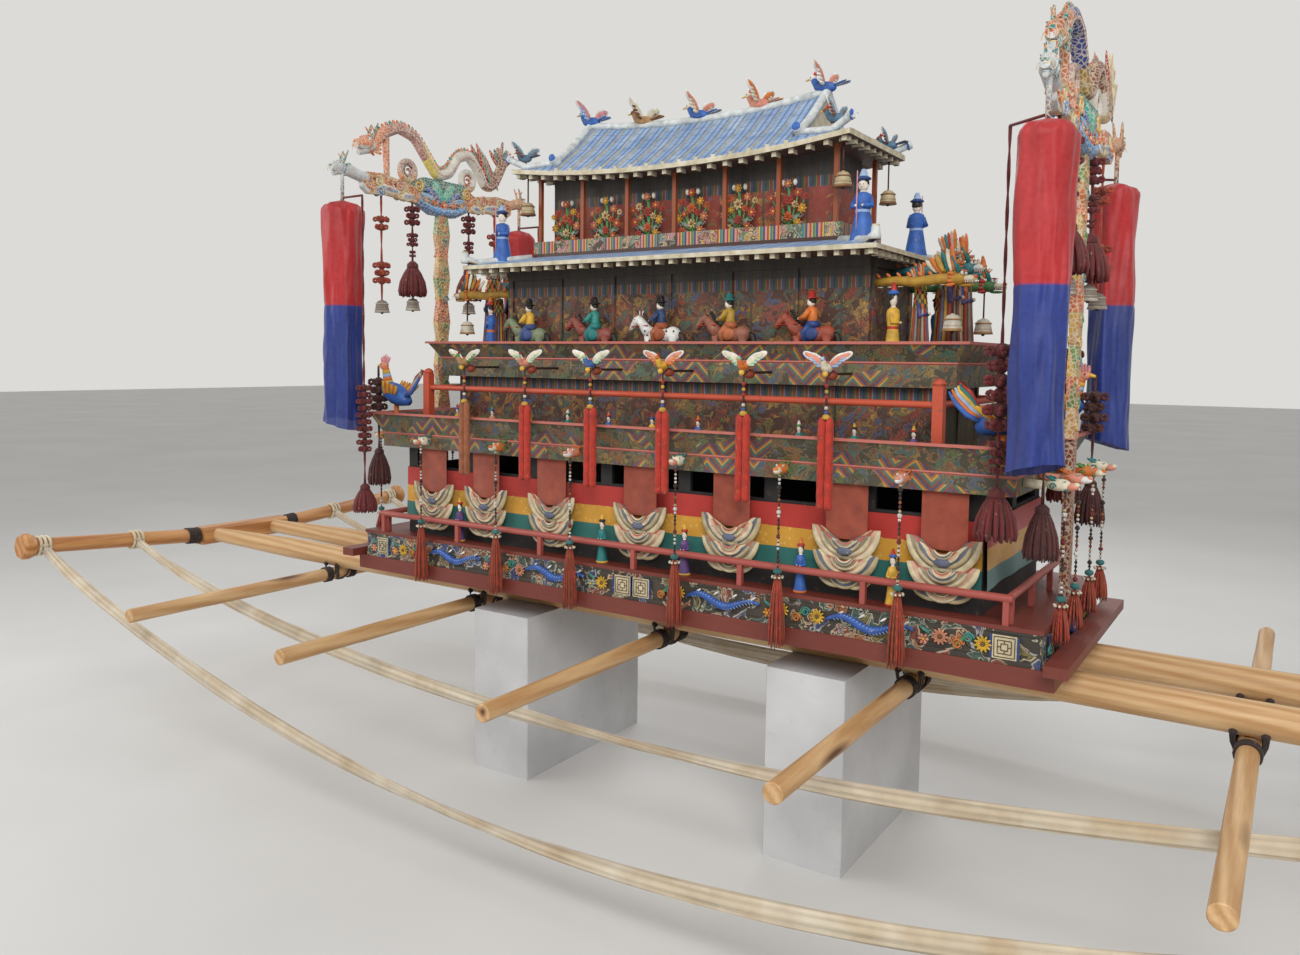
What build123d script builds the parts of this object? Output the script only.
from build123d import *
import os
from math import cos, pi, radians, sin, tan

# A roofed ceremonial bier: a tiered, painted wooden body on two long carrying poles,
# with five cross poles lashed under them, a yoke at each end, four slack cloth ropes
# between the yokes, and two plinths that it stands on.
# Millimetres. +X runs along the poles, +Y away from the side with the plain view,
# +Z up. The origin is on the floor under the middle of the body.

# Carrying frame
PLINTH_LENGTH = 260
PLINTH_DEPTH = 725
PLINTH_HEIGHT = 605
PLINTH_X = 612
PLINTH_EDGE = 3
POLE_R = 46
POLE_END_R = 33
POLE_Y = 163
POLE_TAPER = 560
YOKE_X = 2700
YOKE_ARM_R = 33
YOKE_BLOCK = 84
YOKE_BLOCK_EDGE = 12
YOKE_BLOCK_HALF = 240
YOKE_ROOT_Y = 192
YOKE_TIP_Y = 1062
YOKE_RISE = 70
YOKE_KNOB_R = 55
YOKE_KNOB_LENGTH = 50
TENON_R = 20
TENON_CLEARANCE = 0.3
CROSS_R = 27
CROSS_GRIP_R = 26
CROSS_GRIP = 300
CROSS_NECK = 40
CROSS_EDGE = 3
CROSS_HALF = 1120
CROSS_PITCH = 880
CROSS_COUNT = 5

# Base box, from the sills up to the gallery deck
BOX_HALF_X = 1293
BOX_HALF_Y = 395
BOX_HEIGHT = 92
BOX_WALL = 18
BOX_RAISED = 4
BOX_RAIL = 14
SILL_HEIGHT = 53
SILL_WIDTH = 45
SILL_OUTER_Y = BOX_HALF_Y + 10
SILL_HALF = BOX_HALF_X + 37
BEARER_WIDTH = 42
BEARER_COUNT = 5
PLANK_WIDTH = 60
PLANK_THICK = 30
PLANK_HALF = BOX_HALF_Y + 60
PLANK_OVERHANG = 41
ROSETTE_R = 21
ROSETTE_PITCH = 118
DECK = 12
DECK_LIP = 6

# Chamber with its cloth band
CHAMBER_HALF_X = 1120
CHAMBER_HALF_Y = 330
WALL = 15
CHAMBER_TOP = 1235
WINDOW_BOTTOM = 1122
WINDOW_TOP = 1212
WINDOW_COUNT = 7
WINDOW_POST = 46
CLOTH_GAP = 0.3
CLOTH_THICK = 4
CLOTH_TOP = 1114
CLOTH_BOTTOM = 922

# Flared trays: fascia, then a board that leans outwards, with a bead and a rim
TRAY_BOARD = 14
TRAY_BEAD = 4
TRAY_RIM = 8
MITRE_GAP = 0.3
FAR = 3000
TRAY_2 = dict(half_x=1210, half_y=380, flare=45, low=1195, knee=1247, top=1330)
TRAY_3 = dict(half_x=1010, half_y=260, flare=46, low=1475, knee=1545, top=1608)

# Storeys
STOREY_2_HALF_X = 940
STOREY_2_HALF_Y = 225
STOREY_3_HALF_X = 720
STOREY_3_HALF_Y = 190
PILASTER_WIDTH = 22
PILASTER_PROUD = 6
PILASTER_COUNT = 7
CORNICE_HEIGHT = 34
CORNICE_PROUD = 10
LOWER_EAVE_X = 800
LOWER_EAVE_Y = 360
LOWER_EAVE_Z = 1872
LOWER_EAVE_THICK = 14
LOWER_ROOF_TOP = 1924
LOWER_RAFTERS = 31
LOWER_END_RAFTERS = 13
LOWER_HIP_R = 12
LOWER_KNOB_R = (15, 11)
RAFTER = 15
RAFTER_DEPTH = 34
RAFTER_SET_BACK = 12
UPPER_FLOOR_HALF_X = 612
UPPER_FLOOR_HALF_Y = 176
UPPER_HALF_X = 560
UPPER_HALF_Y = 118
UPPER_POST = 14
UPPER_POSTS = 7
BALUSTRADE_HEIGHT = 44
BALUSTRADE_THICK = 8

# Upper roof, hipped at the foot and gabled above
EAVE_HALF_X = 663
EAVE_HALF_Y = 245
EAVE_MID_Z = 2200
EAVE_GABLE_Z = 2222
EAVE_CORNER_Z = 2244
EAVE_THICK = 16
RIDGE_HALF = 480
RIDGE_MID_Z = 2386
RIDGE_END_Z = 2418
ROOF_SAG = 10
ROOF_STEPS = 3
RIB_COUNT = 15
RIB_WIDTH = 14
RIB_PROUD = 9
RIDGE_WIDTH = 26
UPPER_RAFTERS = 23
UPPER_END_RAFTERS = 9

# End boards, streamers and hangings
BOARD_X = BOX_HALF_X - 22
BOARD_THICK = 24
BOARD_LOW = 2186
BOARD_POST = 26
BOARD_POST_WIDTH = 46
DRAGON_R = 22
STREAMER_X = BOX_HALF_X - 11
STREAMER_Y = 512
STREAMER_TOP = 2140
STREAMER_BOTTOM = 1262
STREAMER_WIDE_X = 160
STREAMER_WIDE_Y = 190
STREAMER_ARM_Z = 2151

# Rails round the galleries
RAIL_1_X = BOX_HALF_X - 77
RAIL_1_Y = BOX_HALF_Y - 5
RAIL_1_Z = 926
RAIL_1_R = 11
RAIL_1_BAYS = 6
BALUSTER = 16
RAIL_2_X = 990
RAIL_2_Y = 350
RAIL_2_Z = 1431
RAIL_2_R = 10
RAIL_2_POST = 30
RAIL_2_POST_TOP = 1484

# Hangings along the sides; the tables give places along X
PENDANT_X = (-950, -682, -372, 5, 350, 733, 1020)
PENDANT_STRIP = 130
PENDANT_FAN = 118
PENDANT_FAN_TOP = 1082
PENDANT_THICK = 4
PENDANT_SET_BACK = 6
PENDANT_LAYERS = 3
TASSEL_1_X = (-950, -572, -235, 186, 548, 916)
TASSEL_1_Y = 432
TASSEL_END_X = BOX_HALF_X + 25
TASSEL_END_Y = (-300, -110, 110, 300)
TASSEL_1_NECK = 912
TASSEL_1_BOTTOM = 692
TASSEL_END_BOTTOM = 800
HEAD_1_Z = 1225
TASSEL_2_X = (-715, -428, -145, 140, 428, 695)
TASSEL_2_Y = 442
TASSEL_2_NECK = 1388
TASSEL_2_BOTTOM = 1122
TASSEL_2_R = 13
TASSEL_2_STEP = 12
PEG_2_Z = 1512

# Knotted cords: x, y, top, knot clusters as (top, bottom, radius), neck, foot, foot radius, bell foot
CORD_R = 5
KNOTTED_CORDS = {
    "streamer_right": (1175, -436, STREAMER_ARM_Z, ((1595, 1406, 40),), 1227, 1086, 56, None),
    "streamer_left": (-1166, -515, STREAMER_ARM_Z, ((1440, 1180, 24),), 1060, 949, 46, None),
    "corner": (1272, -350, 1512, ((1462, 1342, 38),), 1180, 1030, 40, None),
    "board_outer": (BOARD_X, -330, 2210, ((2107, 2050, 28), (1917, 1835, 30)), None, None, None, 1722),
    "board_inner": (BOARD_X, -165, 2205, ((2165, 2000, 20),), 1925, 1792, 58, 1738),
}

# Figures and birds
FIGURE_PROFILE = (
    (0.5, 0), (0.42, 0.1), (0.27, 0.45), (0.33, 0.62), (0.13, 0.7),
    (0.2, 0.75), (0.2, 0.85), (0.3, 0.87), (0.14, 0.91), (0.08, 1),
)
RIDER_X = (-585, -285, -5, 260, 550)
RIDER_LENGTH = 130
GALLERY_DOLL_X = (-816, -150, 180, 590, 876)
GALLERY_DOLL_HEIGHT = 165
GALLERY_DOLL_WIDTH = 42
DECK_2_DOLLS = 11
DECK_2_DOLL_HEIGHT = 120
DECK_2_DOLL_WIDTH = 34
ROOF_BIRDS = 5
ROOF_BIRD_LENGTH = 104
PEG_BIRD_LENGTH = 92
PEG_BIRD_RISE = 18

# A horse and its rider as shares of the horse's length, facing -X
HORSE_BACK = 0.42
HORSE_TRUNK = ((-0.4, 0.1), (-0.26, 0.17), (0.24, 0.17), (0.44, 0.1))
HORSE_MIDDLE = (  # neck, head and tail: start, end, radius at each
    ((-0.32, 0, 0.44), (-0.5, 0, 0.78), (0.13, 0.09)),
    ((-0.44, 0, 0.8), (-0.7, 0, 0.62), (0.11, 0.06)),
    ((0.42, 0, 0.46), (0.56, 0, 0.14), (0.07, 0.04)),
)
HORSE_LEGS = (
    ((-0.3, -0.09, 0), (-0.3, -0.09, 0.4), (0.05, 0.08)),
    ((0.32, -0.09, 0), (0.32, -0.09, 0.4), (0.05, 0.08)),
)
RIDER_SEAT = (0.5, 0.92, 0.4)  # height of the seat, height and width of the rider

# A bird's forms as shares of its length: along its body, across, up
BIRD_BODY = ((-0.3, 0.08), (-0.2, 0.15), (0.04, 0.16), (0.26, 0.1), (0.36, 0.04))
BIRD_LIMBS = (  # neck, head and beak: start, end, radius at each
    ((-0.2, 0, 0.02), (-0.36, 0, 0.24), (0.12, 0.09)),
    ((-0.3, 0, 0.24), (-0.46, 0, 0.25), (0.11, 0.08)),
    ((-0.44, 0, 0.25), (-0.58, 0, 0.22), (0.04, 0.01)),
)
BIRD_TAIL = ((0.2, 0.04), (0.68, 0.12), (0.7, 0.02), (0.2, -0.06))
BIRD_TAIL_WIDTH = 0.16
BIRD_WING = ((0, 0.06), (0.2, 0.36), (0.5, 0.52), (0.86, 0.5), (0.66, 0.22), (0.3, 0))
BIRD_WING_THICK = 0.1
BIRD_STAND = 26
# End figures: x, y, height, width
END_FIGURES = (
    (800, -208, 240, 60),
    (848, -108, 300, 66),
    (925, -60, 400, 84),
    (925, 60, 400, 84),
    (848, 108, 300, 66),
    (800, 208, 240, 60),
)
# Beasts' heads on brackets over the third tray: y, z, reach in x, bell foot
END_BRACKETS = (
    (-165, 1782, 1040, 1640),
    (0, 1826, 1020, None),
    (165, 1782, 1040, 1640),
)
# Figures on the lower roof's corners and their feet over its eaves
ROOF_FIGURE = dict(height=220, width=84)
ROOF_FIGURE_RISE = 26
BOUQUET_X = (-480, -300, -120, 60, 240, 420)
BOUQUET_STARS = ((-46, 0, 22), (0, 34, 26), (46, 2, 22), (0, -26, 24), (0, 82, 18))

# A dragon's head that faces -Y, as shares of its size: start, end, radius at each
BEAST_SKULL = (
    ((0, 0.5, 0), (0, -0.3, 0.1), (0.36, 0.48)),
    ((0, -0.3, 0.1), (0, -1.15, -0.05), (0.44, 0.3)),
    ((0, 0.1, -0.2), (0, -0.95, -0.62), (0.28, 0.16)),
)
BEAST_SIDES = (  # a horn and an eye
    ((0.2, 0, 0.3), (0.3, 0.5, 1.5), (0.14, 0.06)),
    ((0.2, -0.3, 0.3), (0.26, -0.4, 0.62), (0.17,)),
)

# The dragon over each end board, as (y, z)
DRAGON_PATH = (
    (-375, 2362), (-330, 2425), (-240, 2466), (-150, 2446), (-85, 2372), (-25, 2306),
    (45, 2330), (95, 2404), (160, 2426), (222, 2372), (275, 2296), (330, 2330), (384, 2420),
)
DRAGON_BEND = 38
DRAGON_RING = (38, 13)
DRAGON_RINGS = ((-190, 2302), (155, 2314))
DRAGON_FLAMES = ((-34, 72), (0, 102), (36, 68))
DRAGON_HEAD = (-388, 2368)
DRAGON_HEAD_SIZE = 58

# The crested birds on the second deck's corners, from the stand's foot, as (x, z)
PHOENIX_Y = -350
PHOENIX_STAND = 1370
PHOENIX_BODY_Z = 1400
PHOENIX_BODY = ((-78, 5), (-44, 26), (0, 44), (40, 36), (70, 14), (84, 5))
PHOENIX_LIMBS = (  # neck and head: start, end, radius at each
    ((40, 1420), (62, 1505), (22, 13)),
    ((54, 1502), (84, 1520), (19, 14)),
    ((80, 1518), (104, 1508), (9, 5)),
)
PHOENIX_COMB = ((40, 1500), (30, 1560), (54, 1540), (66, 1566), (80, 1536), (86, 1520))
PHOENIX_TAIL = ((-40, 1380), (-120, 1430), (-150, 1500), (-112, 1486), (-60, 1440), (-20, 1420))
PHOENIX_WING = ((-62, 40), (-20, -8), (34, -14), (20, 26), (-8, 52))

# Ropes of folded cotton cloth between the yokes
ROPE_R = 20
ROPE_OUTER_Y = 975
ROPE_INNER_Y = 565
TIE_WIDTH = 60
TIE_THICK = 12
ROPES = (
    ("outer", -ROPE_OUTER_Y, (
        (-2657.2, 695.8), (-2500, 630), (-2240, 545), (-1900, 445), (-1500, 345), (-1080, 258),
        (-640, 198), (-190, 167), (260, 166), (700, 196), (1120, 252), (1520, 336),
        (1910, 442), (2240, 545), (2500, 630), (2657.2, 695.8),
    )),
    ("inner", -ROPE_INNER_Y, (
        (-2656.2, 666.8), (-2500, 614), (-2240, 548), (-1900, 480), (-1500, 420), (-1080, 376),
        (-640, 348), (-190, 338), (260, 342), (700, 362), (1120, 398), (1520, 448),
        (1910, 510), (2240, 570), (2500, 617), (2656.2, 666.8),
    )),
)

os.makedirs("parts", exist_ok=True)
nodes = {}


def keep(name, *solids):
    """Store the solids of one node."""
    nodes[name] = solids[0] if len(solids) == 1 else Compound(list(solids))


def joined(*pieces):
    return Part() + list(pieces)


def bar(x, y, z):
    """A square-edged piece between three pairs of limits."""
    limits = (x, y, z)
    middle = [(low + high) / 2 for low, high in limits]
    size = [high - low for low, high in limits]
    return Pos(*middle) * Box(*size)


def rod(start, end, radius, end_radius=None):
    """A round bar from point to point, straight or tapered."""
    axis = Vector(*end) - Vector(*start)
    place = Plane(origin=start, z_dir=axis)
    seat = (Align.CENTER, Align.CENTER, Align.MIN)
    if end_radius is None:
        return place * Cylinder(radius, axis.length, align=seat)
    return place * Cone(radius, end_radius, axis.length, align=seat)


def turned(profile):
    """A solid turned about the vertical axis, from (radius, height) pairs."""
    points = ((0, profile[0][1]), *profile, (0, profile[-1][1]))
    return revolve(Plane.XZ * Polygon(*points, align=None), Axis.Z)


def turned_along(profile):
    """A solid turned about the X axis, from (place along X, radius) pairs."""
    points = ((profile[0][0], 0), *profile, (profile[-1][0], 0))
    return revolve(Polygon(*points, align=None), Axis.X)


def plate_xz(points, y, thick):
    """An outline of (x, z) points, thick along Y about y."""
    flat = Plane((0, y, 0), x_dir=(1, 0, 0), z_dir=(0, -1, 0)) * Polygon(*points, align=None)
    return extrude(flat, thick / 2, both=True)


def plate_yz(points, x, thick):
    """An outline of (y, z) points, thick along X about x."""
    flat = Plane((x, 0, 0), x_dir=(0, 1, 0), z_dir=(1, 0, 0)) * Polygon(*points, align=None)
    return extrude(flat, thick / 2, both=True)


def carved_yz(points, x, thick, radius):
    """The same with its corners rounded, as a carver leaves them."""
    line = FilletPolyline(*points, radius=radius, close=True)
    flat = Plane((x, 0, 0), x_dir=(0, 1, 0), z_dir=(1, 0, 0)) * make_face(line)
    return extrude(flat, thick / 2, both=True)


def across(shape):
    """The shape and its twin on the far side."""
    return [shape, mirror(shape, about=Plane.XZ)]


def along(shape):
    """The shape and its twin at the other end."""
    return [shape, mirror(shape, about=Plane.YZ)]


def four(shape):
    return across(shape) + [mirror(twin, about=Plane.YZ) for twin in across(shape)]


def far_twins(shapes):
    return [mirror(one, about=Plane.XZ) for one in shapes]


def end_twins(shapes):
    return [mirror(one, about=Plane.YZ) for one in shapes]


def spread(count, half):
    """Evenly spaced places from -half to half."""
    return [half * (2 * i / (count - 1) - 1) for i in range(count)]


def comb(count, half, tooth, height, drop):
    """An outline with evenly spaced square teeth under it; height gives its level along it."""
    reach = half - tooth / 2
    lower = []
    for place in spread(count, reach):
        level = height(place)
        left = place - tooth / 2
        right = place + tooth / 2
        lower += [(left, level), (left, level - drop), (right, level - drop), (right, level)]
    upper = [(x, height(x) + drop / 2) for x in (half, half / 2, 0, -half / 2, -half)]
    return lower + upper


POLE_Z = PLINTH_HEIGHT + POLE_R
SILL_Z = PLINTH_HEIGHT + 2 * POLE_R
BOX_Z = SILL_Z + SILL_HEIGHT
GALLERY_Z = BOX_Z + BOX_HEIGHT + DECK
CROSS_Z = PLINTH_HEIGHT - CROSS_R


def plinths():
    for name, side in (("plinth_left", -1), ("plinth_right", 1)):
        block = Pos(side * PLINTH_X, 0, PLINTH_HEIGHT / 2)
        body = block * Box(PLINTH_LENGTH, PLINTH_DEPTH, PLINTH_HEIGHT)
        keep(name, chamfer(body.edges().filter_by(Axis.Z), PLINTH_EDGE))


def long_poles():
    """A round pole that tapers towards its ends and enters each yoke as a tenon."""
    shoulder = YOKE_X - YOKE_BLOCK / 2
    tenon_end = YOKE_X + YOKE_BLOCK / 2
    pole = turned_along((
        (-tenon_end, TENON_R),
        (-shoulder, TENON_R),
        (-shoulder, POLE_END_R),
        (-shoulder + POLE_TAPER, POLE_R),
        (shoulder - POLE_TAPER, POLE_R),
        (shoulder, POLE_END_R),
        (shoulder, TENON_R),
        (tenon_end, TENON_R),
    ))
    keep("long_pole_near", Pos(0, -POLE_Y, POLE_Z) * pole)
    keep("long_pole_far", Pos(0, POLE_Y, POLE_Z) * pole)


def yokes():
    """A squared middle that takes the poles, and round arms that rise to turned knobs."""
    half = YOKE_BLOCK / 2
    middle = bar(
        (YOKE_X - half, YOKE_X + half),
        (-YOKE_BLOCK_HALF, YOKE_BLOCK_HALF),
        (POLE_Z - half, POLE_Z + half),
    )
    middle = chamfer(middle.edges().filter_by(Axis.Y), YOKE_BLOCK_EDGE)
    root = Vector(YOKE_X, -YOKE_ROOT_Y, POLE_Z)
    tip = Vector(YOKE_X, -YOKE_TIP_Y, POLE_Z + YOKE_RISE)
    reach = (tip - root).length
    arm = turned((
        (YOKE_ARM_R, 0),
        (YOKE_ARM_R, reach - YOKE_KNOB_LENGTH * 1.12),
        (YOKE_KNOB_R * 0.84, reach - YOKE_KNOB_LENGTH),
        (YOKE_KNOB_R, reach - YOKE_KNOB_LENGTH * 0.6),
        (YOKE_KNOB_R, reach - YOKE_KNOB_LENGTH * 0.2),
        (YOKE_KNOB_R * 0.86, reach),
    ))
    yoke = joined(middle, *across(Plane(origin=root, z_dir=tip - root) * arm))
    for side in (-1, 1):
        start = (YOKE_X - YOKE_BLOCK, side * POLE_Y, POLE_Z)
        end = (YOKE_X + YOKE_BLOCK, side * POLE_Y, POLE_Z)
        yoke -= rod(start, end, TENON_R + TENON_CLEARANCE)
    keep("yoke_right", yoke)
    keep("yoke_left", mirror(yoke, about=Plane.YZ))


def cross_poles():
    """Round poles under the long ones, a little slimmer where the bearers hold them."""
    grip_end = CROSS_HALF - CROSS_EDGE
    grip_start = grip_end - CROSS_GRIP
    outline = (
        (-CROSS_HALF, CROSS_GRIP_R - CROSS_EDGE),
        (-grip_end, CROSS_GRIP_R),
        (-grip_start, CROSS_GRIP_R),
        (-grip_start + CROSS_NECK, CROSS_R),
        (grip_start - CROSS_NECK, CROSS_R),
        (grip_start, CROSS_GRIP_R),
        (grip_end, CROSS_GRIP_R),
        (CROSS_HALF, CROSS_GRIP_R - CROSS_EDGE),
    )
    pole = Rot(0, 0, 90) * turned_along(outline)
    reach = CROSS_PITCH * (CROSS_COUNT - 1) / 2
    for number, x in enumerate(spread(CROSS_COUNT, reach), start=1):
        keep(f"cross_pole_{number}", Pos(x, 0, CROSS_Z) * pole)


def base_frame():
    """Sills and bearers on the poles, and a plank across each end."""
    top = SILL_Z + SILL_HEIGHT
    inner_y = SILL_OUTER_Y - SILL_WIDTH
    sill = bar((-SILL_HALF, SILL_HALF), (-SILL_OUTER_Y, -inner_y), (SILL_Z, top))
    keep("sills", *across(sill))
    reach = SILL_HALF - BEARER_WIDTH / 2
    bearers = [
        bar((x - BEARER_WIDTH / 2, x + BEARER_WIDTH / 2), (-inner_y, inner_y), (SILL_Z, top))
        for x in spread(BEARER_COUNT, reach)
    ]
    keep("base_bearers", *bearers)
    out = SILL_HALF + PLANK_OVERHANG
    plank = bar((out - PLANK_WIDTH, out), (-PLANK_HALF, PLANK_HALF), (top, top + PLANK_THICK))
    keep("end_planks", *along(plank))


def box_panel(length, square_places):
    """One carved side of the base box: a board with rails, fret squares and rosettes."""
    half = length / 2
    board = bar((-half, half), (0, BOX_WALL), (BOX_Z, BOX_Z + BOX_HEIGHT))
    proud = (-BOX_RAISED, 0)
    rails = [
        bar((-half, half), proud, (BOX_Z, BOX_Z + BOX_RAIL)),
        bar((-half, half), proud, (BOX_Z + BOX_HEIGHT - BOX_RAIL / 2, BOX_Z + BOX_HEIGHT)),
    ]
    side = (BOX_HEIGHT - 2 * BOX_RAIL) / 2
    middle = BOX_Z + BOX_RAIL + side
    squares = [
        bar((x - side, x + side), proud, (middle - side, middle + side)) for x in square_places
    ]
    centres = [
        place for place in spread(round(length / ROSETTE_PITCH), half - ROSETTE_PITCH / 2)
        if min(abs(place - x) for x in square_places) > side + ROSETTE_R
    ]
    rosettes = [
        rod((x, 0, middle), (x, -BOX_RAISED * 0.8, middle), ROSETTE_R, ROSETTE_R * 0.8)
        for x in centres
    ]
    return joined(board, *rails, *squares, *rosettes)


def base_box():
    inset = BOX_HEIGHT
    side_squares = (-BOX_HALF_X + inset, -inset * 0.4, inset * 0.4, BOX_HALF_X - inset)
    near = Pos(0, -BOX_HALF_Y, 0) * box_panel(2 * BOX_HALF_X, side_squares)
    end_half = BOX_HALF_Y - BOX_WALL - MITRE_GAP
    end_squares = (-end_half + inset, end_half - inset)
    end = Pos(BOX_HALF_X, 0, 0) * Rot(0, 0, 90) * box_panel(2 * end_half, end_squares)
    keep("box_panels", *across(near), *along(end))
    reach_x = BOX_HALF_X + DECK_LIP
    reach_y = BOX_HALF_Y + DECK_LIP
    low = BOX_Z + BOX_HEIGHT
    keep("gallery_deck", bar((-reach_x, reach_x), (-reach_y, reach_y), (low, low + DECK)))


def chamber():
    """Four boards with a row of windows under the tray, and the cloth band outside."""
    height = (GALLERY_Z, CHAMBER_TOP)
    window = (WINDOW_BOTTOM, WINDOW_TOP)
    near = bar(
        (-CHAMBER_HALF_X, CHAMBER_HALF_X),
        (-CHAMBER_HALF_Y, -CHAMBER_HALF_Y + WALL),
        height,
    )
    through_y = (-CHAMBER_HALF_Y - WALL, -CHAMBER_HALF_Y + 2 * WALL)
    bay = (2 * CHAMBER_HALF_X - WINDOW_POST) / WINDOW_COUNT
    for number in range(WINDOW_COUNT):
        start = -CHAMBER_HALF_X + WINDOW_POST + number * bay
        near -= bar((start, start + bay - WINDOW_POST), through_y, window)
    inner_y = CHAMBER_HALF_Y - WALL - MITRE_GAP
    right = bar((CHAMBER_HALF_X - WALL, CHAMBER_HALF_X), (-inner_y, inner_y), height)
    through_x = (CHAMBER_HALF_X - 2 * WALL, CHAMBER_HALF_X + WALL)
    gap = inner_y - WINDOW_POST
    for limits in ((-gap, -WINDOW_POST / 2), (WINDOW_POST / 2, gap)):
        right -= bar(through_x, limits, window)
    keep("chamber_walls", *across(near), *along(right))
    cloth_z = (CLOTH_BOTTOM, CLOTH_TOP)
    face_y = CHAMBER_HALF_Y + CLOTH_GAP
    face_x = CHAMBER_HALF_X + CLOTH_GAP
    side = bar((-face_x, face_x), (-face_y - CLOTH_THICK, -face_y), cloth_z)
    end = bar((face_x, face_x + CLOTH_THICK), (-CHAMBER_HALF_Y, CHAMBER_HALF_Y), cloth_z)
    for name, cloth in zip(("near", "far"), across(side)):
        keep(f"curtain_{name}", cloth)
    for name, cloth in zip(("right", "left"), along(end)):
        keep(f"curtain_{name}", cloth)


def tray_profile(half, flare, low, knee, top):
    """The section of a tray's board: fascia, bead at the knee, leaning board and rim."""
    inner = half - TRAY_BOARD
    rim = half + flare
    lean = flare / (top - knee)
    return (
        (half, low),
        (half, knee - TRAY_BEAD),
        (half + TRAY_BEAD, knee),
        (half + TRAY_BEAD * lean, knee + TRAY_BEAD),
        (rim - TRAY_RIM * lean - TRAY_BEAD, top - TRAY_RIM),
        (rim, top - TRAY_RIM),
        (rim, top),
        (rim - TRAY_BOARD, top),
        (inner, knee + TRAY_BEAD),
        (inner, low),
    )


def mitre_wedge(half_x, half_y, reach):
    """The room over one long side, between the corner diagonals."""
    x = half_x - half_y - MITRE_GAP
    points = ((-x, 0), (x, 0), (x + FAR, -FAR), (-x - FAR, -FAR))
    return extrude(Polygon(*points, align=None), reach, dir=(0, 0, 1))


def tray(sizes, name):
    """Four boards, mitred where they meet."""
    half_x = sizes["half_x"]
    half_y = sizes["half_y"]
    rest = {key: sizes[key] for key in ("flare", "low", "knee", "top")}
    reach = sizes["top"] * 2
    side_points = [(-out, z) for out, z in tray_profile(half_y, **rest)]
    side = plate_yz(side_points, 0, 2 * (half_x + sizes["flare"]))
    side = side & mitre_wedge(half_x, half_y, reach)
    end_points = tray_profile(half_x, **rest)
    end = plate_xz(end_points, 0, 2 * (half_y + sizes["flare"]))
    start = half_x - half_y + MITRE_GAP
    corners = ((start, 0), (start + FAR, FAR), (start + FAR, -FAR))
    end = end & extrude(Polygon(*corners, align=None), reach, dir=(0, 0, 1))
    keep(name, *across(side), *along(end))


def tray_deck(sizes, name):
    x = sizes["half_x"] - TRAY_BOARD
    y = sizes["half_y"] - TRAY_BOARD
    keep(name, bar((-x, x), (-y, y), (sizes["knee"] - DECK, sizes["knee"])))


def storey_walls(half_x, half_y, low, high, name):
    """Four boards with pilasters and a cornice, from one deck up to the next."""
    def face(half, outer, count):
        board = bar((-half, half), (-outer, -outer + WALL), (low, high))
        width = PILASTER_WIDTH / 2
        pilasters = [
            bar((x - width, x + width), (-outer - PILASTER_PROUD, -outer), (low, high))
            for x in spread(count, half - width)
        ]
        cornice = bar((-half, half), (-outer - CORNICE_PROUD, -outer), (high - CORNICE_HEIGHT, high))
        return joined(board, *pilasters, cornice)

    side = face(half_x, half_y, PILASTER_COUNT)
    end = Rot(0, 0, 90) * face(half_y - WALL - MITRE_GAP, half_x, 3)
    keep(name, *across(side), *along(end))


def lower_roof():
    """A skirt roof: flat soffit over rafter ends, shallow slopes, upturned white hips."""
    foot = LOWER_EAVE_Z + LOWER_EAVE_THICK
    eave = bar(
        (-LOWER_EAVE_X, LOWER_EAVE_X),
        (-LOWER_EAVE_Y, LOWER_EAVE_Y),
        (LOWER_EAVE_Z, foot),
    )
    low = Plane.XY.offset(foot) * Rectangle(2 * LOWER_EAVE_X, 2 * LOWER_EAVE_Y)
    high = Plane.XY.offset(LOWER_ROOF_TOP) * Rectangle(2 * UPPER_FLOOR_HALF_X, 2 * UPPER_FLOOR_HALF_Y)
    slopes = loft([low.face(), high.face()], ruled=True)

    def level(_):
        return LOWER_EAVE_Z

    back = RAFTER_SET_BACK + RAFTER_DEPTH / 2
    side_row = plate_xz(
        comb(LOWER_RAFTERS, LOWER_EAVE_X - RAFTER, RAFTER, level, RAFTER), -LOWER_EAVE_Y + back, RAFTER_DEPTH
    )
    end_row = plate_yz(
        comb(LOWER_END_RAFTERS, LOWER_EAVE_Y - 2 * RAFTER, RAFTER, level, RAFTER),
        LOWER_EAVE_X - back, RAFTER_DEPTH,
    )
    hips = four(lower_hip(foot))
    keep("lower_roof", joined(eave, slopes, *across(side_row), *along(end_row), *hips))


def lower_hip(foot):
    """The ridge down one corner of the lower roof, with its upturned end and knob."""
    def corner(inset, rise):
        return (LOWER_EAVE_X - inset, -LOWER_EAVE_Y + inset, foot + rise)

    top = (UPPER_FLOOR_HALF_X + 5, -UPPER_FLOOR_HALF_Y - 5, LOWER_ROOF_TOP - 2)
    down = rod(top, corner(40, 12), LOWER_HIP_R)
    upturn = rod(corner(40, 12), corner(4, 24), LOWER_HIP_R + 1)
    knob = rod(corner(6, 10), corner(6, 52), *LOWER_KNOB_R)
    return joined(down, upturn, knob)


def roof_share(x):
    """0 in the middle of the roof, 1 at its gables, rising faster towards them."""
    return min(abs(x) / RIDGE_HALF, 1) ** 2


def roof_eave(x):
    beyond = max(abs(x) - RIDGE_HALF, 0) / (EAVE_HALF_X - RIDGE_HALF)
    upturn = (EAVE_CORNER_Z - EAVE_GABLE_Z) * beyond
    return EAVE_MID_Z + (EAVE_GABLE_Z - EAVE_MID_Z) * roof_share(x) + upturn


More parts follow.
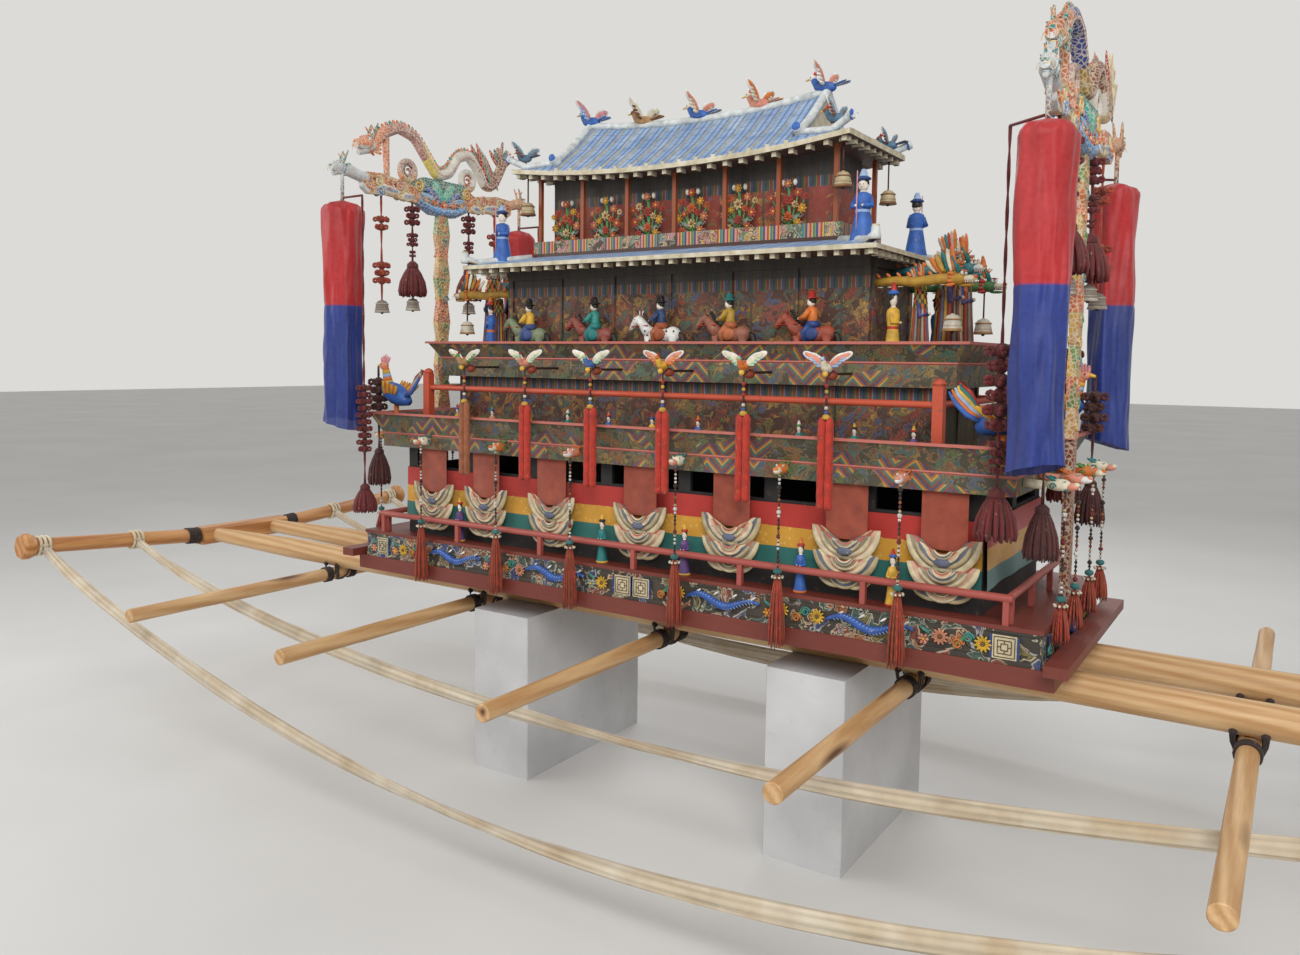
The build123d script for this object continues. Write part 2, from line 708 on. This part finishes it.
def roof_ridge(x):
    return RIDGE_MID_Z + (RIDGE_END_Z - RIDGE_MID_Z) * roof_share(x)


def roof_line(x, raised):
    """The sagging line of the near slope at x, from eave to ridge, as (y, z) points."""
    eave = roof_eave(x)
    ridge = roof_ridge(x)
    middle = (eave + ridge) / 2 - ROOF_SAG
    return [(-EAVE_HALF_Y, eave + raised), (-EAVE_HALF_Y / 2, middle + raised), (0, ridge + raised)]


def roof_section(x):
    """The roof cut across at x: soffit, eaves and two sagging slopes."""
    low = roof_eave(x) - EAVE_THICK
    near = roof_line(x, 0)
    far = [(-y, z) for y, z in reversed(near[:-1])]
    points = [(-EAVE_HALF_Y, low), *near, *far, (EAVE_HALF_Y, low)]
    plane = Plane((x, 0, 0), x_dir=(0, 1, 0), z_dir=(1, 0, 0))
    return (plane * Polygon(*points, align=None)).face()


def skirt_section(x, eave, crown):
    shoulder = EAVE_HALF_Y * 0.88
    points = (
        (-EAVE_HALF_Y, eave - EAVE_THICK),
        (EAVE_HALF_Y, eave - EAVE_THICK),
        (EAVE_HALF_Y, eave),
        (shoulder, crown),
        (-shoulder, crown),
        (-EAVE_HALF_Y, eave),
    )
    plane = Plane((x, 0, 0), x_dir=(0, 1, 0), z_dir=(1, 0, 0))
    return (plane * Polygon(*points, align=None)).face()


def roof_rib(x):
    """One row of cover tiles down the near slope."""
    points = roof_line(x, RIB_PROUD) + roof_line(x, -RIB_PROUD / 2)[::-1]
    return plate_yz(points, x, RIB_WIDTH)


def roof_places():
    """Where the roof's sections stand along the ridge."""
    return [RIDGE_HALF * step / ROOF_STEPS for step in range(-ROOF_STEPS, ROOF_STEPS + 1)]


def upper_roof():
    """Blue tiled slopes over curved eaves, a hipped skirt at each end, and rafter ends."""
    slopes = loft([roof_section(x) for x in roof_places()], ruled=True)
    skirt = loft(
        [
            skirt_section(RIDGE_HALF, EAVE_GABLE_Z, EAVE_GABLE_Z + 25),
            skirt_section(EAVE_HALF_X, EAVE_CORNER_Z, EAVE_CORNER_Z + 2),
        ],
        ruled=True,
    )
    ribs = []
    for x in spread(RIB_COUNT, RIDGE_HALF - RIDGE_WIDTH):
        ribs += across(roof_rib(x))

    def soffit(x):
        return roof_eave(x) - EAVE_THICK

    def corner_soffit(_):
        return EAVE_CORNER_Z - EAVE_THICK

    back = RAFTER_SET_BACK + RAFTER_DEPTH / 2
    side_row = plate_xz(
        comb(UPPER_RAFTERS, EAVE_HALF_X - RAFTER, RAFTER, soffit, RAFTER), -EAVE_HALF_Y + back, RAFTER_DEPTH
    )
    end_row = plate_yz(
        comb(UPPER_END_RAFTERS, EAVE_HALF_Y - 2 * RAFTER, RAFTER, corner_soffit, RAFTER),
        EAVE_HALF_X - back, RAFTER_DEPTH,
    )
    keep("upper_roof", joined(slopes, *along(skirt), *ribs, *across(side_row), *along(end_row)))


def upper_storey():
    """Floor, red wall, posts and striped balustrade under the upper roof."""
    floor = bar(
        (-UPPER_FLOOR_HALF_X, UPPER_FLOOR_HALF_X),
        (-UPPER_FLOOR_HALF_Y, UPPER_FLOOR_HALF_Y),
        (LOWER_ROOF_TOP, LOWER_ROOF_TOP + DECK),
    )
    keep("upper_floor", floor)
    low = LOWER_ROOF_TOP + DECK
    core = bar((-UPPER_HALF_X, UPPER_HALF_X), (-UPPER_HALF_Y, UPPER_HALF_Y), (low, EAVE_GABLE_Z))
    keep("upper_storey_core", core - nodes["upper_roof"])
    edge_x = UPPER_FLOOR_HALF_X
    edge_y = UPPER_FLOOR_HALF_Y
    height = (low, low + BALUSTRADE_HEIGHT)
    side = bar((-edge_x, edge_x), (-edge_y, -edge_y + BALUSTRADE_THICK), height)
    inner = edge_y - BALUSTRADE_THICK - MITRE_GAP
    end = bar((edge_x - BALUSTRADE_THICK, edge_x), (-inner, inner), height)
    keep("balustrade", *across(side), *along(end))
    post_y = edge_y - BALUSTRADE_THICK - MITRE_GAP - UPPER_POST / 2
    half = UPPER_POST / 2
    width = (-post_y - half, -post_y + half)
    posts = [
        bar((x - half, x + half), width, (low, EAVE_CORNER_Z)) - nodes["upper_roof"]
        for x in spread(UPPER_POSTS, edge_x - BALUSTRADE_THICK - UPPER_POST)
    ]
    keep("upper_posts", *posts, *far_twins(posts))


def bouquets():
    """Bunches of carved flowers on stems between the posts of the upper storey."""
    low = LOWER_ROOF_TOP + DECK
    y = -(UPPER_HALF_Y + 24)
    pieces = []
    for x in BOUQUET_X:
        stem = rod((x, y, low), (x, y, low + 190), 6, 4)
        stars = [
            Pos(x + dx, y, low + 96 + dz) * star(radius) for dx, dz, radius in BOUQUET_STARS
        ]
        arms = [
            rod((x, y, low + 50), (x + dx, y, low + 96 + dz), 5) for dx, dz, _ in BOUQUET_STARS if dx
        ]
        pieces.append(joined(stem, *arms, *stars))
    keep("bouquets", *pieces, *far_twins(pieces))


def star(radius):
    """A five-petalled flower seen from the side, as a plate with rounded points."""
    points = []
    for step in range(10):
        reach = radius if step % 2 == 0 else radius * 0.5
        points.append((reach * cos(step * pi / 5 + pi / 2), reach * sin(step * pi / 5 + pi / 2)))
    return plate_xz(points, 0, 12)


def roof_ridges():
    """White ridge along the top, a verge down each slope end and upturned hips."""
    places = roof_places()
    ridge = [
        rod((start, 0, roof_ridge(start) + 8), (end, 0, roof_ridge(end) + 8), RIDGE_WIDTH / 2)
        for start, end in zip(places, places[1:])
    ]
    horn = rod((RIDGE_HALF - 4, 0, RIDGE_END_Z + 7), (RIDGE_HALF + 24, 0, RIDGE_END_Z + 26), 14, 11)
    verge_x = RIDGE_HALF + 2
    line = [(verge_x, y, z) for y, z in roof_line(RIDGE_HALF, 10)]
    foot = (verge_x, -EAVE_HALF_Y + 34, EAVE_GABLE_Z + 34)
    verge = joined(rod(line[2], line[1], RIDGE_WIDTH / 2), rod(line[1], foot, RIDGE_WIDTH / 2))
    knob = rod((foot[0], foot[1] + 8, foot[2]), (foot[0], foot[1] - 20, foot[2] + 12), 18, 13)
    bend = (EAVE_HALF_X - 60, -EAVE_HALF_Y + 16, EAVE_CORNER_Z + 4)
    tip = (EAVE_HALF_X + 6, -EAVE_HALF_Y - 4, EAVE_CORNER_Z + 34)
    hip = joined(rod(foot, bend, 11), rod(bend, tip, 12))
    end = rod(tip, (tip[0] + 8, tip[1] - 6, tip[2] + 4), 15)
    pieces = joined(*ridge, *along(horn), *four(joined(verge, knob, hip, end)))
    keep("roof_ridges", pieces - nodes["upper_roof"])


def scaled(points, length):
    """Points given as shares of a creature's length, at its real size."""
    return tuple(tuple(length * share for share in point) for point in points)


def limb(row, length):
    """A round limb from a row of shares: its start, its end and the radius at each."""
    start, end, radii = scaled(row, length)
    return rod(start, end, *radii)


def dragon(x):
    """A scaled body that loops over the end board, with head, horns, leg and flaming tail."""
    line = FilletPolyline(*[(x, y, z) for y, z in DRAGON_PATH], radius=DRAGON_BEND)
    body = sweep(Plane(origin=line @ 0, z_dir=line % 0) * Circle(DRAGON_R), path=line)
    loops = [Pos(x, y, z) * Rot(0, 90, 0) * Torus(*DRAGON_RING) for y, z in DRAGON_RINGS]
    leg = rod((x, -305, 2440), (x, -300, 2258), 15, 11)
    flame_y, flame_z = DRAGON_PATH[-1]
    flames = [
        rod((x, flame_y - 14 + lean / 4, flame_z - 20), (x, flame_y + 1 + lean, flame_z + rise), 13, 5)
        for lean, rise in DRAGON_FLAMES
    ]
    return joined(body, *loops, leg, *flames, Pos(x, *DRAGON_HEAD) * beast_head(DRAGON_HEAD_SIZE))


def beast_head(size):
    """A dragon's head that faces -Y: skull, snout, open jaw, horns and eyes."""
    middle = [limb(row, size) for row in BEAST_SKULL]
    sides = [pair for row in BEAST_SIDES for pair in along(limb(row, size))]
    return joined(*middle, *sides)


def end_boards():
    """An openwork cloud board on a carved post, dragons over it and heads that hold the silks."""
    band = carved_yz(
        (
            (-432, 2204), (-400, BOARD_LOW - 4), (-300, BOARD_LOW + 4), (-150, BOARD_LOW - 8), (-70, 2142),
            (70, 2142), (150, BOARD_LOW - 8), (300, BOARD_LOW + 4), (400, BOARD_LOW - 4), (432, 2204),
            (424, 2264), (330, 2270), (190, 2250), (110, 2290), (-110, 2290), (-190, 2250), (-330, 2270),
            (-424, 2264),
        ),
        BOARD_X, BOARD_THICK, 12,
    )
    for y, z, radius in ((372, 2226, 22), (262, 2228, 15), (96, 2222, 16)):
        for side in (-1, 1):
            band -= rod((BOARD_X - BOARD_THICK, side * y, z), (BOARD_X + BOARD_THICK, side * y, z), radius)
    waves = []
    top = BOARD_LOW - 30
    step = (top - TRAY_2["top"]) / 9
    for number in range(10):
        wide = BOARD_POST_WIDTH * (0.5 if number % 2 else 0.82)
        waves.append((wide, TRAY_2["top"] + number * step))
    right_edge = [(wide, z) for wide, z in waves]
    left_edge = [(-wide, z) for wide, z in reversed(waves)]
    carving = carved_yz(right_edge + left_edge, BOARD_X, BOARD_POST, 6)
    half = BOARD_POST_WIDTH / 2
    post = bar(
        (BOARD_X - BOARD_POST / 2, BOARD_X + BOARD_POST / 2), (-half, half), (GALLERY_Z, BOARD_LOW)
    )
    neck = rod((BOARD_X, -404, 2236), (BOARD_X + 6, -500, 2262), 20, 24)
    head = Pos(STREAMER_X, -STREAMER_Y - 4, 2262) * beast_head(44)
    hanger = rod((STREAMER_X, -STREAMER_Y, 2262), (STREAMER_X, -STREAMER_Y, STREAMER_TOP + CLOTH_GAP), 7)
    right = joined(band, dragon(BOARD_X), carving, post, *across(joined(neck, head, hanger)))
    keep("end_board_right", right)
    keep("end_board_left", mirror(right, about=Plane.YZ))


def streamers():
    """Closed silk tubes, oval in section, that hang from the end boards."""
    def oval(z, share):
        size = (STREAMER_WIDE_X / 2 * share, STREAMER_WIDE_Y / 2 * share)
        return (Plane((STREAMER_X, -STREAMER_Y, z)) * Ellipse(*size)).face()

    levels = (
        (STREAMER_BOTTOM, 0.9),
        (STREAMER_TOP - 46, 0.97),
        (STREAMER_TOP - 16, 0.8),
        (STREAMER_TOP, 0.3),
    )
    parts = [
        loft([oval(*low), oval(*high)], ruled=True) for low, high in zip(levels, levels[1:])
    ]
    right_near, right_far = across(joined(*parts))
    keep("streamer_right_near", right_near)
    keep("streamer_right_far", right_far)
    keep("streamer_left_near", mirror(right_near, about=Plane.YZ))
    keep("streamer_left_far", mirror(right_far, about=Plane.YZ))


def knotted_cord(name):
    """A hanging turned about its cord: knots, then a tassel or a bell or both."""
    x, y, top, knots, neck, foot, foot_radius, bell_foot = KNOTTED_CORDS[name]
    cord = [(CORD_R, top)]
    for high, low, radius in knots:
        step = (high - low) / 4
        for number in range(4):
            cord.append((radius * 0.5, high - number * step))
            cord.append((radius, high - (number + 0.5) * step))
        cord.append((CORD_R, low))
    if foot is not None:
        cord += [
            (CORD_R, neck), (foot_radius * 0.28, neck - 4), (foot_radius * 0.34, neck - foot_radius * 0.5),
            (foot_radius * 0.7, neck - foot_radius), (foot_radius, foot),
        ]
        if bell_foot is not None:
            cord.append((CORD_R, foot))
    if bell_foot is not None:
        cord += [
            (CORD_R, bell_foot + 52), (16, bell_foot + 50), (25, bell_foot + 40), (28, bell_foot + 10),
            (32, bell_foot),
        ]
    return Pos(x, y, 0) * turned(cord)


def hangings():
    """The knotted cords at the streamers, at the corners and under the end boards."""
    pieces = []
    for end, side in (("right", 1), ("left", -1)):
        name = f"streamer_{end}"
        x, y, top = KNOTTED_CORDS[name][:3]
        arm = rod((side * STREAMER_X, -STREAMER_Y, top), (x, y, top), CORD_R)
        whole = joined(arm, knotted_cord(name)) - nodes[f"end_board_{end}"]
        pieces += across(whole)
    keep("streamer_cords", *pieces)
    pieces = []
    for name in ("board_outer", "board_inner"):
        pieces += across(knotted_cord(name) - nodes["end_board_right"])
    keep("board_hangings", *pieces, *end_twins(pieces))


def corner_phoenixes():
    """A crested bird at each corner of the second deck, with a knotted tassel in its beak."""
    x = TRAY_2["half_x"] - 40
    y = PHOENIX_Y
    stand = rod((x, y, TRAY_2["knee"]), (x, y, PHOENIX_STAND), 11)
    body = Pos(x, y, PHOENIX_BODY_Z) * Rot(0, -24, 0) * turned_along(PHOENIX_BODY)
    limbs = [
        rod((x + start[0], y, start[1]), (x + end[0], y, end[1]), *radii)
        for start, end, radii in PHOENIX_LIMBS
    ]
    crest = plate_xz([(x + dx, z) for dx, z in PHOENIX_COMB], y, 9)
    tail = plate_xz([(x + dx, z) for dx, z in PHOENIX_TAIL], y, 14)
    wings = [
        Pos(x, y, PHOENIX_BODY_Z + 4) * Rot(side * 24, 0, 0) * plate_xz(PHOENIX_WING, side * 38, 8)
        for side in (-1, 1)
    ]
    whole = joined(stand, body, *limbs, crest, tail, *wings, knotted_cord("corner"))
    keep("corner_phoenixes", *four(whole))


def bells():
    """Small bells on cords under the corners of the upper roof."""
    cord = [(3, EAVE_CORNER_Z), (3, 2128), (12, 2126), (20, 2112), (24, 2092), (31, 2078)]
    bell = Pos(EAVE_HALF_X - 38, -EAVE_HALF_Y + 50, 0) * turned(cord) - nodes["upper_roof"]
    keep("roof_bells", *four(bell))


def lower_rail():
    """Round rails on square balusters round the gallery deck."""
    def side_rail(half, count):
        rail = rod((-half, 0, RAIL_1_Z), (half, 0, RAIL_1_Z), RAIL_1_R)
        edge = BALUSTER / 2
        stands = [
            bar((x - edge, x + edge), (-edge, edge), (GALLERY_Z, RAIL_1_Z))
            for x in spread(count, half - BALUSTER)
        ]
        return joined(rail, *stands)

    near = Pos(0, -RAIL_1_Y, 0) * side_rail(RAIL_1_X, RAIL_1_BAYS + 1)
    end_half = RAIL_1_Y - RAIL_1_R - MITRE_GAP
    end = Pos(RAIL_1_X - RAIL_1_R, 0, 0) * Rot(0, 0, 90) * side_rail(end_half, 4)
    keep("lower_rail", *across(near), *along(end))


def upper_rail():
    """Rails between four capped posts on the second deck."""
    half = RAIL_2_POST / 2
    capped = Pos(RAIL_2_X, -RAIL_2_Y, 0) * joined(
        bar((-half, half), (-half, half), (TRAY_2["knee"], RAIL_2_POST_TOP)),
        turned((
            (half * 1.1, RAIL_2_POST_TOP),
            (half * 1.3, RAIL_2_POST_TOP + 6),
            (half * 0.9, RAIL_2_POST_TOP + 15),
            (half * 0.3, RAIL_2_POST_TOP + 20),
        )),
    )
    near_rail = rod((-RAIL_2_X, -RAIL_2_Y, RAIL_2_Z), (RAIL_2_X, -RAIL_2_Y, RAIL_2_Z), RAIL_2_R)
    near = joined(near_rail, *along(capped))
    inner = RAIL_2_Y - half - MITRE_GAP
    end = rod((RAIL_2_X, -inner, RAIL_2_Z), (RAIL_2_X, inner, RAIL_2_Z), RAIL_2_R)
    keep("upper_rail", *across(near), *along(end))


def petal_pendants():
    """Cloth strips from the second deck's underside, each with a fan of round petals."""
    top = TRAY_2["knee"] - DECK
    y = -TRAY_2["half_y"] + TRAY_BOARD + PENDANT_SET_BACK
    half = PENDANT_STRIP / 2
    pieces = [bar((-half, half), (y - PENDANT_THICK, y), (PENDANT_FAN_TOP - 60, top))]
    for layer in range(PENDANT_LAYERS):
        share = 1 - layer / PENDANT_LAYERS
        radius = PENDANT_FAN * (0.42 + 0.1 * share)
        drop = PENDANT_FAN_TOP - 50 - 96 * share
        front = y - PENDANT_THICK * (1.2 + PENDANT_LAYERS - layer)
        spread_x = (PENDANT_FAN - radius) * share
        for x, lift in ((-spread_x, 18 * share), (spread_x, 18 * share), (0, -14 * share)):
            pieces.append(rod((x, y, drop + lift), (x, front, drop + lift), radius))
    pendant = joined(*pieces)
    near = [Pos(x, 0, 0) * pendant for x in PENDANT_X]
    keep("petal_pendants", *near, *far_twins(near))


def beaded_tassel(z_top, bottom, radius):
    """A cord with beads that ends in a tassel, turned about its own line."""
    line = [(4, z_top)]
    bead_gap = (z_top - TASSEL_1_NECK) / 8
    for number in range(1, 8):
        z = z_top - number * bead_gap
        bulge = 9 if number in (3, 6) else 6
        line += [(3, z + bulge), (bulge, z), (3, z - bulge)]
    line += [(4, TASSEL_1_NECK), (radius * 0.6, TASSEL_1_NECK - 4), (radius * 0.8, TASSEL_1_NECK - 22)]
    line.append((radius, bottom))
    return turned(line)


def lower_tassels():
    """Carved heads round the first fascia, each with a beaded cord and a tassel."""
    face = TRAY_2["half_y"]
    outline = (
        (0, HEAD_1_Z - 14), (0, HEAD_1_Z + 14), (-16, HEAD_1_Z + 20), (-34, HEAD_1_Z + 30),
        (-62, HEAD_1_Z + 22), (-90, HEAD_1_Z + 6), (-86, HEAD_1_Z - 8), (-56, HEAD_1_Z - 14),
    )
    head = carved_yz(outline, 0, 34, 5)
    reach = TASSEL_1_Y - face
    hanging = Pos(0, -reach, 0) * beaded_tassel(HEAD_1_Z, TASSEL_1_BOTTOM, 20)
    near = [Pos(x, -face, 0) * joined(head, hanging) for x in TASSEL_1_X]
    end_reach = TASSEL_END_X - TRAY_2["half_x"]
    arm = rod((0, 0, HEAD_1_Z + 4), (0, -end_reach, HEAD_1_Z + 4), 12)
    hanging = Pos(0, -end_reach, 0) * beaded_tassel(HEAD_1_Z, TASSEL_END_BOTTOM, 17)
    piece = joined(arm, Pos(0, -end_reach + 62, 0) * head, hanging)
    turned_piece = Pos(TRAY_2["half_x"], 0, 0) * Rot(0, 0, 90) * piece
    right = [Pos(0, y, 0) * turned_piece for y in TASSEL_END_Y]
    keep("lower_tassels", *near, *far_twins(near), *right, *end_twins(right))


def bird(length):
    """A carved bird that faces -X: turned body, head, tail plate and two raised leaf-shaped wings."""
    limbs = [limb(row, length) for row in BIRD_LIMBS]
    body = turned_along(scaled(BIRD_BODY, length))
    tail = plate_xz(scaled(BIRD_TAIL, length), 0, length * BIRD_TAIL_WIDTH)
    wing = plate_yz(scaled(BIRD_WING, length), 0, length * BIRD_WING_THICK)
    return joined(body, *limbs, tail, *across(wing))


def rail_birds():
    """Birds on pegs from the third fascia, each with a pair of long padded tassels."""
    face = -TRAY_3["half_y"]
    y = -TASSEL_2_Y
    pieces = []
    tassel = turned((
        (TASSEL_2_R * 0.5, TASSEL_2_NECK), (TASSEL_2_R, TASSEL_2_NECK - 10),
        (TASSEL_2_R, TASSEL_2_BOTTOM + 6), (TASSEL_2_R * 0.7, TASSEL_2_BOTTOM),
    ))
    for x in TASSEL_2_X:
        peg = rod((x, face, PEG_2_Z), (x, y - 14, PEG_2_Z), 7)
        creature = Pos(x, y, PEG_2_Z + PEG_BIRD_RISE) * Rot(0, 0, 90) * bird(PEG_BIRD_LENGTH)
        cord = rod((x, y, PEG_2_Z), (x, y, TASSEL_2_NECK - 8), CORD_R)
        pair = [Pos(x + side * TASSEL_2_STEP, y, 0) * tassel for side in (-1, 1)]
        pieces.append(joined(peg, creature, cord, *pair))
    keep("rail_birds", *pieces, *far_twins(pieces))


def figure(x, y, z, height, width):
    """A standing doll: robe, shoulders, head and hat."""
    profile = [(radius * width, level * height) for radius, level in FIGURE_PROFILE]
    return Pos(x, y, z) * turned(profile)


def mounted_rider(x, y, z, length):
    """A horse that faces -X with a rider on it."""
    trunk = Pos(0, 0, length * HORSE_BACK) * turned_along(scaled(HORSE_TRUNK, length))
    middle = [limb(row, length) for row in HORSE_MIDDLE]
    legs = [leg for row in HORSE_LEGS for leg in across(limb(row, length))]
    rider = figure(0, 0, *scaled((RIDER_SEAT,), length)[0])
    return Pos(x, y, z) * joined(trunk, *middle, *legs, rider)


def tray_riders():
    floor = TRAY_3["knee"]
    y = -(TRAY_3["half_y"] - TRAY_BOARD + STOREY_3_HALF_Y + CORNICE_PROUD) / 2
    near = [mounted_rider(x, y, floor, RIDER_LENGTH) for x in RIDER_X]
    keep("riders", *near, *far_twins(near))


def end_figures():
    """Tall robed figures on the third tray, beasts on brackets and bells at each end."""
    floor = TRAY_3["knee"]
    pieces = [figure(x, y, floor, height, width) for x, y, height, width in END_FIGURES]
    x = (UPPER_FLOOR_HALF_X + LOWER_EAVE_X) / 2 + 4
    y = -(UPPER_FLOOR_HALF_Y + LOWER_EAVE_Y) / 2 + 26
    corner = figure(x, y, LOWER_EAVE_Z + ROOF_FIGURE_RISE, **ROOF_FIGURE) - nodes["lower_roof"]
    keep("robed_figures", *pieces, *end_twins(pieces), *four(corner))
    beasts = []
    for y, z, reach, bell_foot in END_BRACKETS:
        arm = rod((STOREY_3_HALF_X + CORNICE_PROUD, y, z + 6), (reach - 60, y, z + 6), 13, 17)
        head = Pos(reach - 60, y, z + 10) * Rot(0, 0, 90) * beast_head(46)
        pieces = [arm, head]
        if bell_foot is not None:
            pieces.append(Pos(reach - 76, y, 0) * turned(
                ((4, z), (4, bell_foot + 52), (16, bell_foot + 50), (24, bell_foot + 34), (32, bell_foot))
            ))
        beasts.append(joined(*pieces))
    keep("end_beasts", *beasts, *end_twins(beasts))


def dolls():
    """Small dolls on the gallery deck and on the second deck, behind their rails."""
    y = -(RAIL_1_Y + CHAMBER_HALF_Y + CLOTH_THICK) / 2
    near = [
        figure(x, y, GALLERY_Z, GALLERY_DOLL_HEIGHT, GALLERY_DOLL_WIDTH) for x in GALLERY_DOLL_X
    ]
    y = -(RAIL_2_Y + STOREY_2_HALF_Y) / 2
    reach = RAIL_2_X - 3 * RAIL_2_POST
    near += [
        figure(x, y, TRAY_2["knee"], DECK_2_DOLL_HEIGHT, DECK_2_DOLL_WIDTH)
        for x in spread(DECK_2_DOLLS, reach)
    ]
    keep("dolls", *near, *far_twins(near))


def roof_birds():
    """Birds on short stands along the ridge and on the hips."""
    pieces = []
    for x in spread(ROOF_BIRDS, RIDGE_HALF - 4):
        top = roof_ridge(x) + RIDGE_WIDTH / 2
        stand = rod((x, 0, top), (x, 0, top + BIRD_STAND), CORD_R)
        whole = joined(stand, Pos(x, 0, top + BIRD_STAND) * bird(ROOF_BIRD_LENGTH))
        pieces.append(whole - nodes["roof_ridges"] - nodes["upper_roof"])
    x = EAVE_HALF_X - 50
    y = -EAVE_HALF_Y + 20
    stand = rod((x, y, EAVE_CORNER_Z + 8), (x, y, EAVE_CORNER_Z + 50), CORD_R)
    corner = joined(stand, Pos(x, y, EAVE_CORNER_Z + 48) * bird(ROOF_BIRD_LENGTH * 0.8))
    corner = corner - nodes["roof_ridges"] - nodes["upper_roof"]
    keep("roof_birds", *pieces, *four(corner))


def ropes():
    """Four slack ropes of folded cloth between ties on the yokes."""
    for name, y, points in ROPES:
        path = [(x, y, z) for x, z in points]
        route = FilletPolyline(*path, radius=rope_radii(name, path))
        section = Plane(origin=route @ 0, z_dir=route % 0) * Circle(ROPE_R)
        tube = sweep(section, path=route)
        keep(f"rope_{name}_near", tube)
        keep(f"rope_{name}_far", mirror(tube, about=Plane.XZ))
        print(name, "tube volume", tube.volume, "section by length", pi * ROPE_R**2 * route.length)


def rope_radii(name, path):
    """The largest arc that the two runs beside each corner leave room for."""
    radii = []
    for before, corner, after in zip(path, path[1:], path[2:]):
        first = Vector(*corner) - Vector(*before)
        second = Vector(*after) - Vector(*corner)
        turn = radians(first.get_angle(second))
        radii.append(0.45 * min(first.length, second.length) / tan(turn / 2))
    print(name, "rope radii", [round(radius) for radius in radii])
    return radii


def rope_ties():
    """Cloth wound round the yoke arms where the ropes are tied."""
    lean = YOKE_RISE / (YOKE_TIP_Y - YOKE_ROOT_Y)
    pieces = []
    for y in (ROPE_OUTER_Y, ROPE_INNER_Y):
        z = POLE_Z + lean * (y - YOKE_ROOT_Y)
        start = (YOKE_X, -y + TIE_WIDTH / 2, z - lean * TIE_WIDTH / 2)
        end = (YOKE_X, -y - TIE_WIDTH / 2, z + lean * TIE_WIDTH / 2)
        ring = rod(start, end, YOKE_ARM_R + TIE_THICK) - rod(start, end, YOKE_ARM_R + CLOTH_GAP)
        pieces.append(ring)
    right = pieces + far_twins(pieces)
    keep("rope_ties", *right, *end_twins(right))


def build():
    plinths()
    long_poles()
    yokes()
    cross_poles()
    base_frame()
    base_box()
    chamber()
    tray(TRAY_2, "tray_2")
    tray_deck(TRAY_2, "deck_2")
    storey_walls(STOREY_2_HALF_X, STOREY_2_HALF_Y, TRAY_2["knee"], TRAY_3["knee"] - DECK, "storey_2_walls")
    tray(TRAY_3, "tray_3")
    tray_deck(TRAY_3, "deck_3")
    storey_walls(STOREY_3_HALF_X, STOREY_3_HALF_Y, TRAY_3["knee"], LOWER_EAVE_Z, "storey_3_walls")
    lower_roof()
    upper_roof()
    upper_storey()
    bouquets()
    roof_ridges()
    end_boards()
    streamers()
    hangings()
    corner_phoenixes()
    bells()
    lower_rail()
    upper_rail()
    petal_pendants()
    lower_tassels()
    rail_birds()
    tray_riders()
    end_figures()
    dolls()
    roof_birds()
    ropes()
    rope_ties()


build()
for name, shape in nodes.items():
    export_step(shape, f"parts/{name}.step")
